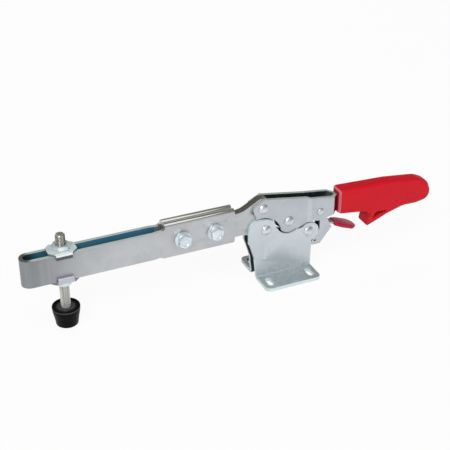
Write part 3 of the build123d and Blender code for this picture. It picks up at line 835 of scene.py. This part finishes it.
def slab_faces(rows, columns):
    """The rim's quads and one polygon for each side face."""
    quads = grid_faces(rows, columns, False, True).tolist()
    first = list(range(columns))
    last = list(range((rows - 1) * columns, rows * columns))
    return quads + [first[::-1], last]


print("outline tools: rounded_outline, outward, rounded_slab, slab_faces")

# %% [markdown]
# Across its width the grip is flat in the middle, because the mould opens sideways.  It is bevelled
# at the mouth, round at the tail and slimmer at the spur, so half its width is a function of x, z.

# %% The grip's outline and width
MOUTH, TAIL, GRIP_HALF = 51.3, 145.8, 7.7    # both ends along X, and half the width
TAIL_ROUND, SPUR_TOP = 6.5, 41.7
grip_corners = [
    (MOUTH, 66.0, 2), (54.0, 69.0, 2), (100.7, 67.4, 60), (131.5, 63.6, 18), (142.6, 58.5, 11),
    (TAIL + 0.4, 41.4, 8.5), (129.0, 39.8, 20), (117.0, 40.4, 20), (101.0, 36.2, 25),
    (79.4, 27.2, 1.6), (81.6, 37.0, 12), (84.2, 41.6, 3), (74.3, 43.8, 8), (54.6, 46.4, 1.5),
    (MOUTH, 47.6, 1)]
rim_radii = np.array([0.8, 3.4, 4.5, 4.5, 4.5, 3.4, 2.6, 2.2, 1.8, 1.2, 0.9, 1.1, 1.6, 1.8, 1.0])


def softened_min(a, b, blend):
    """(a + b - sqrt((a - b)^2 + blend^2)) / 2: the lesser of two, rounded where they cross."""
    return (a + b - np.sqrt((a - b) ** 2 + blend ** 2)) / 2


def half_width(x, z):
    """Half the grip's width: a bevel at the mouth, a quarter circle at the tail, a slimmer spur."""
    mouth = 3.4 + (x - MOUTH) * 2.15
    past = np.clip(x - (TAIL - TAIL_ROUND), 0, TAIL_ROUND - 0.01)
    tail = GRIP_HALF - TAIL_ROUND + np.sqrt(TAIL_ROUND ** 2 - past ** 2)
    spur = GRIP_HALF - 1.5 * np.clip((SPUR_TOP - z) / 15, 0, 1)
    return np.minimum(softened_min(mouth, spur, 0.9), tail)


print("the spur's tip is", round(float(2 * half_width(80.0, 28.0)), 1), "mm wide")

# %% [markdown]
# The outline first becomes a slab of even width.  Wide flat faces can't bend, so they are cut into
# strips, and then every point that lies outside the width is moved in.

# %% Grip
def squared_up(mesh, cuts):
    """Cut all faces along planes (axis, place), so that wide flat faces have points to bend at."""
    shell = bmesh.new()
    shell.from_mesh(mesh)
    wide = [face for face in shell.faces if len(face.verts) > 4]
    bmesh.ops.triangulate(shell, faces=wide)
    for axis, place in cuts:
        at, normal = Vector((0, 0, 0)), Vector((0, 0, 0))
        at[axis], normal[axis] = place * MM, 1.0
        bmesh.ops.bisect_plane(shell, geom=shell.verts[:] + shell.edges[:] + shell.faces[:],
                               dist=1e-7, plane_co=at, plane_no=normal)
    shell.to_mesh(mesh)
    shell.free()


path, owner = rounded_outline(grip_corners, 1.0)
rim = np.interp(owner, np.arange(len(rim_radii) + 1), np.append(rim_radii, rim_radii[0]))
rows = rounded_slab(path, GRIP_HALF, rim, 9)
points = np.stack([rows[..., 0], rows[..., 2], rows[..., 1]], -1)
moulding = make_piece("moulded_grip", "handle", points,
                      slab_faces(*rows.shape[:2]), ["handle_grip"], crease=50)
squared_up(moulding.data, [(0, x) for x in np.arange(MOUTH + 0.3, 55.0, 0.3)]
           + [(0, x) for x in np.arange(57.0, 138.0, 3.0)]
           + [(0, x) for x in np.arange(139.0, TAIL, 0.7)]
           + [(2, z) for z in np.arange(28.0, 66.0, 2.5)])
place = np.empty(len(moulding.data.vertices) * 3, np.float32)
moulding.data.vertices.foreach_get("co", place)
place = place.reshape(-1, 3)
limit = half_width(place[:, 0] / MM, place[:, 2] / MM) * MM
place[:, 1] = np.sign(place[:, 1]) * np.minimum(np.abs(place[:, 1]), limit)
moulding.data.vertices.foreach_set("co", place.ravel())
finish_mesh(moulding.data, 50)
dress(grip_finish, moulding)
print("grip after shaping:", len(moulding.data.polygons), "faces")

# %% [markdown]
# A three-cornered hollow in each side of the spur saves vinyl and gives the finger an edge.  It is
# cut with a small wedge, the shape of the mould's core, and the wedge is deleted afterwards.

# %% Hollows in the spur
def hollow(target, corners, y_low, y_high):
    """Cut away what lies inside a rounded outline of corners, between two places along Y."""
    wall, _ = rounded_outline(corners, 1.0)
    n = len(wall)
    points = np.concatenate([np.column_stack([wall[:, 0], np.full(n, y), wall[:, 1]])
                             for y in (y_low, y_high)])
    mesh = bpy.data.meshes.new("core")
    ends = [list(range(n)), list(range(2 * n - 1, n - 1, -1))]
    mesh.from_pydata((points * MM).tolist(), [], ends + grid_faces(2, n, False, True).tolist())
    finish_mesh(mesh)
    core = add_object("core", mesh)
    cut = target.modifiers.new("hollow", "BOOLEAN")
    cut.operation, cut.object, cut.solver = "DIFFERENCE", core, "EXACT"
    bpy.context.view_layer.update()
    target.data = bpy.data.meshes.new_from_object(
        target.evaluated_get(bpy.context.evaluated_depsgraph_get()))
    target.modifiers.clear()
    bpy.data.objects.remove(core)
    return len(target.data.polygons)


pocket = [(85.0, 33.2, 0.8), (88.6, 40.9, 1.2), (103.6, 39.9, 1.0)]    # corners (x, z, radius)
WEB, CLEAR = 2.7, 9.0    # |y| of the web that is left between the hollows, and past the sides
print("front hollow:", hollow(moulding, pocket, -CLEAR, -WEB), "faces")
print("rear hollow:", hollow(moulding, pocket, WEB, CLEAR), "faces")

# %% [markdown]
# The tab is a steel tongue dipped in vinyl, so its coat is thick and round at every edge.  It lies
# in a plane that falls 21 degrees towards the spur.

# %% Dipped tab
slope = math.radians(21.0)
TAB_X, TAB_Z, TAB_HALF = 49.6, 38.2, 1.6    # where its top edge starts, and half its thickness
tab_corners = [(0, -5.6, 2.0), (7, -7.6, 8.0), (19, -7.6, 6.0), (23.8, -3.2, 3.5),
               (23.8, 3.2, 3.5), (19, 7.6, 6.0), (7, 7.6, 8.0), (0, 5.6, 2.0)]
path, _ = rounded_outline(tab_corners, 0.6)
rows = rounded_slab(path, TAB_HALF, 1.2, 6)
along, across, up = rows[..., 0], rows[..., 1], rows[..., 2] - TAB_HALF
points = np.stack([TAB_X + along * math.cos(slope) + up * math.sin(slope), across,
                   TAB_Z - along * math.sin(slope) + up * math.cos(slope)], -1)
tab = make_piece("dipped_tab", "latch", points, slab_faces(*rows.shape[:2]),
                 ["latch_tab"], crease=50)
dress(tab_finish, tab)

# %% [markdown]
# The clamp stands on a plain white floor.  Most of the white is a glow that only the camera and
# mirrors see, so it puts no light on the clamp; the matt rest keeps a faint contact shadow.

# %% Floor
FLOOR_SIZE, FLOOR_DROP = 12.0, 0.0002    # metres; it lies a hair under the feet
GLOW_SHARE = 0.92


def white_floor():
    """A square whose white is part glow, for camera and glossy rays, and part matt paper."""
    half = FLOOR_SIZE / 2
    mesh = bpy.data.meshes.new("floor")
    mesh.from_pydata([(-half, -half, 0), (half, -half, 0), (half, half, 0), (-half, half, 0)], [],
                     [(0, 1, 2, 3)])
    floor = add_object("floor", mesh)
    floor.location.z = -FLOOR_DROP
    paper = bpy.data.materials.new("floor_paper")
    paper.use_nodes = True
    paper.node_tree.nodes.remove(paper.node_tree.nodes["Principled BSDF"])
    white = Recipe(paper.node_tree, "Material Output")
    seen = white.node("ShaderNodeMath", {"operation": "MAXIMUM"}, {
        0: white.node("ShaderNodeLightPath", output="Is Camera Ray"),
        1: white.node("ShaderNodeLightPath", output="Is Glossy Ray")})
    matt = white.node("ShaderNodeBsdfDiffuse", {}, {"Color": (0.82, 0.82, 0.82, 1)})
    glow = white.node("ShaderNodeEmission", {}, {"Color": (1, 1, 1, 1)})
    white.feed("Surface", white.node("ShaderNodeMixShader", {}, {
        0: GLOW_SHARE * seen, 1: matt, 2: glow}))
    mesh.materials.append(paper)


white_floor()
print("floor", FLOOR_SIZE, "m square")

# %% [markdown]
# Polished steel looks like what it mirrors, so the room is not one even white: a pale floor, dark
# walls above it, and a bright ceiling.  That gives a fold its run of light and dark lines, and a
# rivet its dark crescent.  The walls in front, behind and on the right differ, so each has its own
# ramp over the direction's height.

# %% Sky
def soft_sky(front, back, right):
    """World colour from the direction's height, with one ramp of stops in front and another
    behind, mixed over the direction's Y, and a third on the right, mixed over its X.  A stop is
    (height, grey, how much of its blue is missing)."""
    world = bpy.data.worlds.new("soft_sky")
    bpy.context.scene.world = world
    world.use_nodes = True
    sky = Recipe(world.node_tree, "Background")
    direction = sky.node("ShaderNodeTexCoord", output="Generated")
    x, y, z = (sky.node("ShaderNodeSeparateXYZ", {}, {0: direction}, output=k) for k in range(3))

    def wall(stops):
        colours = [(at, (grey, grey, grey * (1 - warm), 1)) for at, grey, warm in stops]
        return sky.node("ShaderNodeValToRGB", {"stops": colours}, {0: z})

    facing = sky.blend(sky.ramp(y, -0.12, 0.12, "LINEAR"), wall(front), wall(back))
    sky.feed("Color", sky.blend(sky.ramp(x, 0.48, 0.80, "LINEAR"), facing, wall(right)))


soft_sky(front=[(0.00, 0.95, 0.0), (0.05, 0.88, 0.0), (0.09, 0.20, 0.06), (0.14, 0.50, 0.0),
                (0.45, 0.48, 0.0), (0.58, 0.12, 0.14), (0.76, 0.12, 0.14), (0.84, 1.0, 0.0),
                (1.00, 1.0, 0.0)],
         back=[(0.00, 0.95, 0.0), (0.05, 0.85, 0.0), (0.12, 0.26, 0.05), (0.60, 0.13, 0.12),
               (0.94, 0.10, 0.16), (0.985, 1.0, 0.0), (1.00, 1.0, 0.0)],
         right=[(0.00, 0.95, 0.0), (0.05, 0.80, 0.0), (0.10, 0.14, 0.0), (0.84, 0.08, 0.0),
                (0.96, 0.9, 0.0), (1.00, 1.0, 0.0)])
print("sky with three walls")

# %% [markdown]
# Three round soft boxes light the clamp: a key from the upper left, a broader fill from the right
# and a faint one from behind.  Only the key shows in polished metal, as a single soft highlight.

# %% Lamps
def lamp(name, place, size, watts, mirrored=True):
    """A round soft box that looks at the clamp; glossy surfaces show it only where mirrored."""
    data = bpy.data.lights.new(name, "AREA")
    data.shape, data.size, data.energy = "DISK", size, watts
    light = add_object(name, data)
    light.location = place
    light.rotation_euler = (AIM - Vector(place)).to_track_quat("-Z", "Y").to_euler()
    light.visible_glossy = mirrored


AIM = Vector((-0.03, 0, 0.05))
lamp("key", (-0.85, -0.75, 1.05), 0.8, 10.2)
lamp("fill", (0.9, -1.1, 0.7), 1.0, 9.4, mirrored=False)
lamp("back", (0.2, 1.0, 0.9), 0.8, 4.0, mirrored=False)
print("three lamps")

# %% [markdown]
# The camera looks down about 30 degrees and 24 degrees along the clamp, from close to a metre away
# with a long lens, so that the far foot is only a little smaller than the near one.

# %% Camera
yaw, pitch = math.radians(24.20), math.radians(30.37)
AWAY, LEFT, ABOVE = 938.19, 47.73, 38.54    # the eye, in millimetres along the camera's own axes
FOCAL_PIXELS, FRAME_PIXELS, SENSOR = 1080.9, 450, 36.0
right = Vector((math.cos(yaw), -math.sin(yaw), 0))
view = Vector((math.sin(yaw) * math.cos(pitch), math.cos(yaw) * math.cos(pitch), -math.sin(pitch)))
upward = Vector((math.sin(yaw) * math.sin(pitch), math.cos(yaw) * math.sin(pitch), math.cos(pitch)))
eye = (ABOVE * upward - AWAY * view - LEFT * right) * MM
lens = bpy.data.cameras.new("camera")
lens.sensor_width = SENSOR
lens.lens = FOCAL_PIXELS / FRAME_PIXELS * SENSOR
lens.clip_start, lens.clip_end = 0.05, 50.0
camera = add_object("camera", lens)
camera.matrix_world = Matrix((
    (right.x, upward.x, -view.x, eye.x), (right.y, upward.y, -view.y, eye.y),
    (right.z, upward.z, -view.z, eye.z), (0, 0, 0, 1)))
bpy.context.scene.camera = camera
bpy.context.scene.view_settings.view_transform = "Standard"
print("camera at", [round(v, 3) for v in eye])

# %% [markdown]
